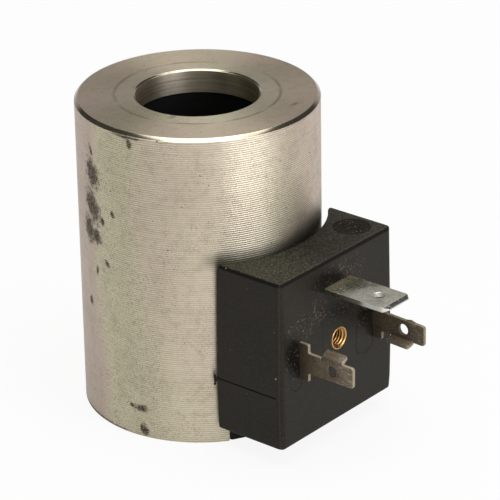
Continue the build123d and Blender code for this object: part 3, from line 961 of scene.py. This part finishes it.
def mesh_points(mesh):
    """The places of a mesh's points, in millimetres."""
    points = np.empty(len(mesh.vertices) * 3)
    mesh.vertices.foreach_get("co", points)
    return points.reshape(-1, 3) / mm


def mark_rim(mesh, rim):
    """Marks the points on the sheet's cut edge, which use has rubbed."""
    mesh.attributes.new("rubbed", "FLOAT", "POINT").data.foreach_set("value", rim.astype(float))


def place_points(mesh, *axes):
    """Moves a mesh's points to the places given, in millimetres."""
    mesh.vertices.foreach_set("co", (np.stack(axes, -1) * mm).ravel())
    mesh.update()


def bend(along, across, start, radius, angle):
    """Bends flat sheet towards positive across. Past start, the length runs round an arc of that
    radius, measured at the sheet's middle, and past the arc it runs straight on at the angle."""
    turn = np.clip((along - start) / radius, 0, angle)
    straight = np.maximum(along - start - radius * angle, 0)
    new_across = radius - (radius - across) * np.cos(turn) + straight * np.sin(turn)
    new_along = start + (radius - across) * np.sin(turn) + straight * np.cos(turn)
    bent = along > start
    return np.where(bent, new_along, along), np.where(bent, new_across, across)


def terminal_mesh(name, fold_angle, fold_start):
    """The blank with its wing still flat, then the wing bent over by an angle. Gives the mesh and its
    points to the side, along and up."""
    wing = fold_base + fold_radius * fold_angle + fold_leg
    outline = rounded([
        (tail_end, -tail_half, 0), (shoulder_end, -tail_half, 0), (shoulder_end, -shoulder_half, 0),
        (blade_root, -shoulder_half, 0.2), (blade_root, -blade_half, 0.35),
        (blade_tip, -blade_half, 0.5), (blade_tip, blade_half, 0.5),
        (fold_end - relief, blade_half, 0.12), (fold_end - relief, fold_base, 0), (fold_end, fold_base, 0),
        (fold_end, wing, 0.45), (fold_start, wing, 0.2), (fold_start, fold_base, 0),
        (fold_start + relief, fold_base, 0), (fold_start + relief, blade_half, 0.12),
        (blade_root, blade_half, 0.35), (blade_root, shoulder_half, 0.2),
        (shoulder_end, shoulder_half, 0), (shoulder_end, tail_half, 0), (tail_end, tail_half, 0),
    ])
    mesh = blank(name, [outline, circle(hole_along, 0, hole_radius)], terminal_sheet, terminal_edge)
    cut_lines(mesh, fold_base + fold_radius * np.linspace(0, fold_angle, 9))
    along, height, side = mesh_points(mesh).T
    on_edge = np.abs(side) < terminal_sheet / 2 - 0.02
    mark_rim(mesh, on_edge & (np.hypot(along - hole_along, height) > hole_radius + 0.2))
    in_wing = (along < fold_start + 0.001) & (along > fold_end - 0.001)
    bent_height, bent_side = bend(height, side, fold_base, fold_radius, fold_angle)
    return mesh, np.where(in_wing, bent_side, side), along, np.where(in_wing, bent_height, height)


def tarnished_plate():
    """Old tin on brass sheet, gone brown and dull: grainy, lighter and scratched towards the tip, darker
    with painted shade near its root, and paler along its edges, where it is rubbed."""
    finish = Surface("tarnished_plating", Metallic=0.6)
    x, y, _ = finish.axes
    noise, paint = finish.noise, finish.paint
    out = face_y - y
    blotches = noise(2.0, detail=6, rough=0.65)
    grain = noise(0.36, detail=3, rough=0.7, offset=13)
    scratches = noise(0.35, stretch=(1, 0.3, 1.6), detail=5, rough=0.7, offset=5)
    finish.start(blotches.rise(0.35, 0.68) * 0.6, (102, 91, 75), (72, 62, 49))
    paint(grain.rise(0.4, 0.66) * 0.55, (132, 119, 98))
    paint(out.rise(6.4, 8.2) * (0.15 + 0.75 * scratches.rise(0.5, 0.62)), (168, 156, 134))
    # Painted shade near the root, where the blade leaves the base.
    paint(out.fall(0.2, 3.5) * 0.5, (58, 49, 39))
    rubbed = finish.node("ShaderNodeAttribute", {"attribute_name": "rubbed"}, {}, "Fac")
    rubbed = rubbed * (0.3 + blotches) * (1 - 0.6 * x.rise(0, 6))
    paint(rubbed.smaller(0.8), (184, 170, 146))
    rough = 0.44 + 0.16 * blotches + 0.1 * grain
    return finish.complete(rough, grain * 0.02, scratches * 0.02, blotches * 0.03)


tarnish = tarnished_plate()
left_mesh, side, along, height = terminal_mesh("left_blade", radians(60), -4.0)
place_points(left_mesh, side - contact_x, along + face_y, height + contact_height)
finished_piece("left_blade", left_mesh, tarnish, ["power_terminal_left"])

right_mesh, side, along, height = terminal_mesh("right_blade", radians(80), -3.6)
knocked = np.maximum(blade_root - along, 0) * knock
place_points(right_mesh, contact_x - side - knocked, along + face_y, contact_height - height)
finished_piece("right_blade", right_mesh, tarnish, ["power_terminal_right"])
piece_from("right_burr", [crumb((8.72, -34.2, 18.36), (0.3, 0.9, 0.3))], tarnish)


# Earth terminal: a wide tinned blade over the other two. Its tip is bevelled, and its inner end is
# bent down behind the plug base to touch the steel. It is satin, and smudged black near its root.
earth_sheet = 0.8
earth_edge = 0.14
earth_height = contact_height + 9.1
earth_half_width = 3.15
earth_length = 11.5
earth_corner = 0.8
earth_hole = (0.2, 7.65)
bevel_length = 0.75
bevel_depth = 0.3
tongue_half_width = 1.5
foot_radius = 0.2 + earth_sheet / 2
foot_drop = 3.9
foot_bend = -(housing_radius + 0.05 + earth_sheet + 0.2)

tip = face_y - earth_length
neck_y = face_y + 3.0
foot_tip = foot_bend + foot_radius * pi / 2 + foot_drop
right_half = [
    (earth_half_width - earth_corner, tip, 0.1), (earth_half_width, tip + earth_corner, 0.3),
    (earth_half_width, neck_y, 0.2), (tongue_half_width, neck_y, 0.2), (tongue_half_width, foot_tip, 0.2),
]
left_half = [(-x, y, radius) for x, y, radius in reversed(right_half)]
hole = circle(earth_hole[0], face_y - earth_hole[1], hole_radius)
earth_mesh = blank("earth_blade", [rounded([*left_half[-1:], *right_half, *left_half[:-1]]), hole],
                   earth_sheet, earth_edge)
cut_lines(earth_mesh, [tip + bevel_length, *(foot_bend + foot_radius * np.linspace(0, pi / 2, 8))])
side, along, across = mesh_points(earth_mesh).T
mark_rim(earth_mesh, np.abs(across) < earth_sheet / 2 - 0.02)
thinning = 1 - np.clip((tip + bevel_length - along) / bevel_length, 0, 1) * bevel_depth / (earth_sheet / 2)
depth, drop = bend(along, -across * thinning, foot_bend, foot_radius, pi / 2)
place_points(earth_mesh, side, depth, earth_height - drop)


def tinned_plate():
    """Tin on brass sheet: satin grey, smudged black with grease and speckled with bare brass near its
    root. Its bevel has painted shade, a dull grey, its hole's wall a painted highlight, white, with
    painted shade towards its far side, and its edges are rubbed bright towards the tip."""
    finish = Surface("tinned_plating", Metallic=1.0)
    x, y, _ = finish.axes
    noise, paint = finish.noise, finish.paint
    out = face_y - y
    clouds = noise(2.5, detail=4)
    grain = noise(0.36, detail=3, rough=0.7, offset=13)
    drawn = noise(0.5, stretch=(1, 0.3, 1), detail=5, offset=5)
    finish.start(clouds.rise(0.3, 0.7), (204, 204, 196), (180, 180, 168))
    paint(drawn.rise(0.5, 0.75) * 0.4, (140, 140, 128))
    paint(grain.rise(0.42, 0.66) * 0.5, (130, 126, 108))
    at_root = (out - x * 0.3).fall(1.5, 4.5)
    paint(at_root * grain.rise(0.35, 0.6) * 0.85, (148, 134, 92))
    greasy = out.rise(0.5, 1.8) * (out - x * 0.55).fall(2.8, 6.4)
    streaky = noise(0.7, stretch=(1.3, 0.7, 1), detail=6, rough=0.75, offset=71)
    smudge = (streaky * 0.7 + grain * 0.4 + greasy * 0.1).rise(0.52, 0.72) * greasy
    for place, size in (((1.9, -29.1), (0.6, 2.2)), ((0.3, -29.3), (1.0, 1.5))):
        smudge = smudge.larger(patch(x, y, streaky, place, size) * (0.5 + 0.5 * grain))
    paint(smudge * 0.85, (62, 60, 50))
    # Painted highlight and shade on the hole's wall: white, and dark towards its right and far side.
    right_of_hole, past_hole = x - earth_hole[0], out - earth_hole[1]
    in_hole = ((right_of_hole ** 2 + past_hole ** 2) ** 0.5).fall(hole_radius + 0.04, hole_radius + 0.12)
    paint(in_hole, (250, 248, 242))
    paint(in_hole * (right_of_hole * 0.64 + past_hole * 0.77).rise(0.1, 0.4), (44, 35, 24))
    rubbed = finish.node("ShaderNodeAttribute", {"attribute_name": "rubbed"}, {}, "Fac")
    bright_edge = (out + (grain - 0.5) * 2).rise(6.2, 7.8)
    paint(rubbed * (1 - bright_edge) * (0.45 + 0.5 * drawn), (84, 80, 62))
    paint(rubbed * bright_edge * 0.8, (244, 242, 234))
    # Painted shade on the bevel at the tip: a dull dark grey.
    bevel_start = earth_length - bevel_length
    on_bevel = out.rise(bevel_start + 0.02, bevel_start + 0.08) * (1 - rubbed)
    paint(on_bevel * (drawn * 0.6 + grain * 0.4).rise(0.36, 0.5), (92, 95, 93))
    rough = 0.4 + 0.14 * clouds + 0.1 * grain - on_bevel * 0.15
    return finish.complete(rough, grain * 0.012, drawn * 0.012, smudge * 0.01)


finished_piece("earth_blade", earth_mesh, tinned_plate(), ["earth_terminal"])


# Threaded insert: turned brass, moulded in, with an M3 thread for the plug's screw. Its flat end is
# flush with the face, and the thread starts below a small countersink.
insert_depth = 6.0
insert_length = 7.0
collar_radius = 2.4
waist_radius = 2.0
end_break = 0.06
crest = 1.25
root = 1.5
thread_pitch = 0.5
mouth = crest + 0.40
mouth_depth = 0.3


def insert_sheets(columns=72):
    """The outside is turned about the insert's axis. In the hole, the radius goes from crest to root
    and back once a pitch, and the pattern moves on by one pitch each turn, which makes a helix."""
    angle = np.linspace(0, 2 * pi, columns + 1)
    section = np.array([
        (0, insert_length), (collar_radius, insert_length), (collar_radius, 4.45), (waist_radius, 4.45),
        (waist_radius, 3.55), (collar_radius, 3.55), (collar_radius, insert_recess),
        (insert_radius, insert_recess), (insert_radius, end_break), (insert_radius - end_break, 0),
        (mouth, 0),
    ])
    depth = np.linspace(0, insert_depth, 12 * 14 + 1)[:, None] + 0 * angle
    wave = (depth / thread_pitch + angle / (2 * pi)) % 1
    ridge = 1 - np.abs(2 * wave - 1)
    radius = crest + (root - crest) * smooth_step(ridge, 0.08, 0.92)
    radius = radius + (mouth - radius) * np.clip(1 - depth / mouth_depth, 0, 1)
    radius[0] = mouth
    outside = turned(section[:, :1], section[:, 1:], angle)[..., [0, 2, 1]]
    hole = turned(radius, depth, angle)[..., [0, 2, 1]]
    bottom = np.stack([hole[-1], hole[-1] * [0, 1, 0]])
    return [sheet + [insert_x, face_y, contact_height] for sheet in (outside, hole, bottom)]


def brass():
    """Bright turned brass, with painted shade down the hole and in the thread's grooves, nearly black there.
    """
    finish = Surface("turned_brass", Metallic=1.0)
    x, y, z = finish.axes
    tone = finish.noise(0.8, detail=3)
    from_middle = ((x - insert_x) ** 2 + (z - contact_height) ** 2) ** 0.5
    groove = from_middle.rise(crest + 0.08, root - 0.04) * y.rise(face_y + 0.2, face_y + 0.3)
    finish.start(tone.rise(0.35, 0.7), (232, 188, 120), (206, 160, 100))
    # Painted shade down the hole and, nearly black, in the thread's grooves.
    finish.paint(y.rise(face_y + 0.4, face_y + 2.5), (150, 100, 52))
    finish.paint(groove * 0.8, (70, 42, 16))
    return finish.complete(0.22 + 0.15 * tone, finish.noise(0.15, detail=2) * 0.004)


piece_from("brass_insert", insert_sheets(), brass(), ["threaded_insert"], sharp=50)


# Pieces inside, which keep the shapes of their solids: the pole ring that closes the cup's end, the
# spool, its winding and tape, and the winding's two ends in their sleeves, soldered to the tails.
wire_pitch = 0.4


def wound_copper():
    """Enamelled copper: fine level turns with a warm gloss."""
    finish = Surface("enamelled_copper", Metallic=1.0)
    tone = finish.noise(3, detail=3)
    finish.start(tone.rise(0.3, 0.7), (190, 105, 62), (160, 82, 46))
    turns = (finish.axes[2] * (2 * pi / wire_pitch)).wave()
    return finish.complete(0.3 + 0.15 * tone, turns * 0.05, tone * 0.01)


def plain_matter(name, light, dark, rough, grain, metallic=0.0):
    """A plain stuff with cloudy colour, a fine grain and a broken gloss."""
    finish = Surface(name, Metallic=metallic, Specular_IOR_Level=0.2)
    fine = finish.noise(grain, detail=4, offset=19)
    finish.start(finish.noise(4 * grain, detail=4).rise(0.3, 0.7), light, dark)
    return finish.complete(rough + 0.15 * fine, fine * 0.02)


copper = wound_copper()
solder = plain_matter("solder", (190, 190, 188), (150, 150, 148), 0.3, 0.4, 1.0)
sleeve = plain_matter("varnished_sleeve", (220, 212, 190), (196, 184, 156), 0.5, 0.2)
inner_finishes = {
    "bottom_pole_ring": zinc("zinc_on_ring", 0.6),
    # The spool's plastic is made near black as painted shade: it shows only deep down the bore.
    "bobbin": plain_matter("bobbin_plastic", (12, 12, 11), (8, 8, 7), 0.65, 0.5),
    "copper_winding": copper,
    "winding_tape": plain_matter("polyester_tape", (214, 180, 84), (190, 156, 66), 0.25, 1.0),
    "start_lead": copper,
    "finish_lead": copper,
    "start_lead_sleeve": sleeve,
    "finish_lead_sleeve": sleeve,
    "start_solder_joint": solder,
    "finish_solder_joint": solder,
}
for node, finish in inner_finishes.items():
    mesh = frame["nodes"][node].data
    mesh.materials.clear()
    mesh.materials.append(finish.owner)
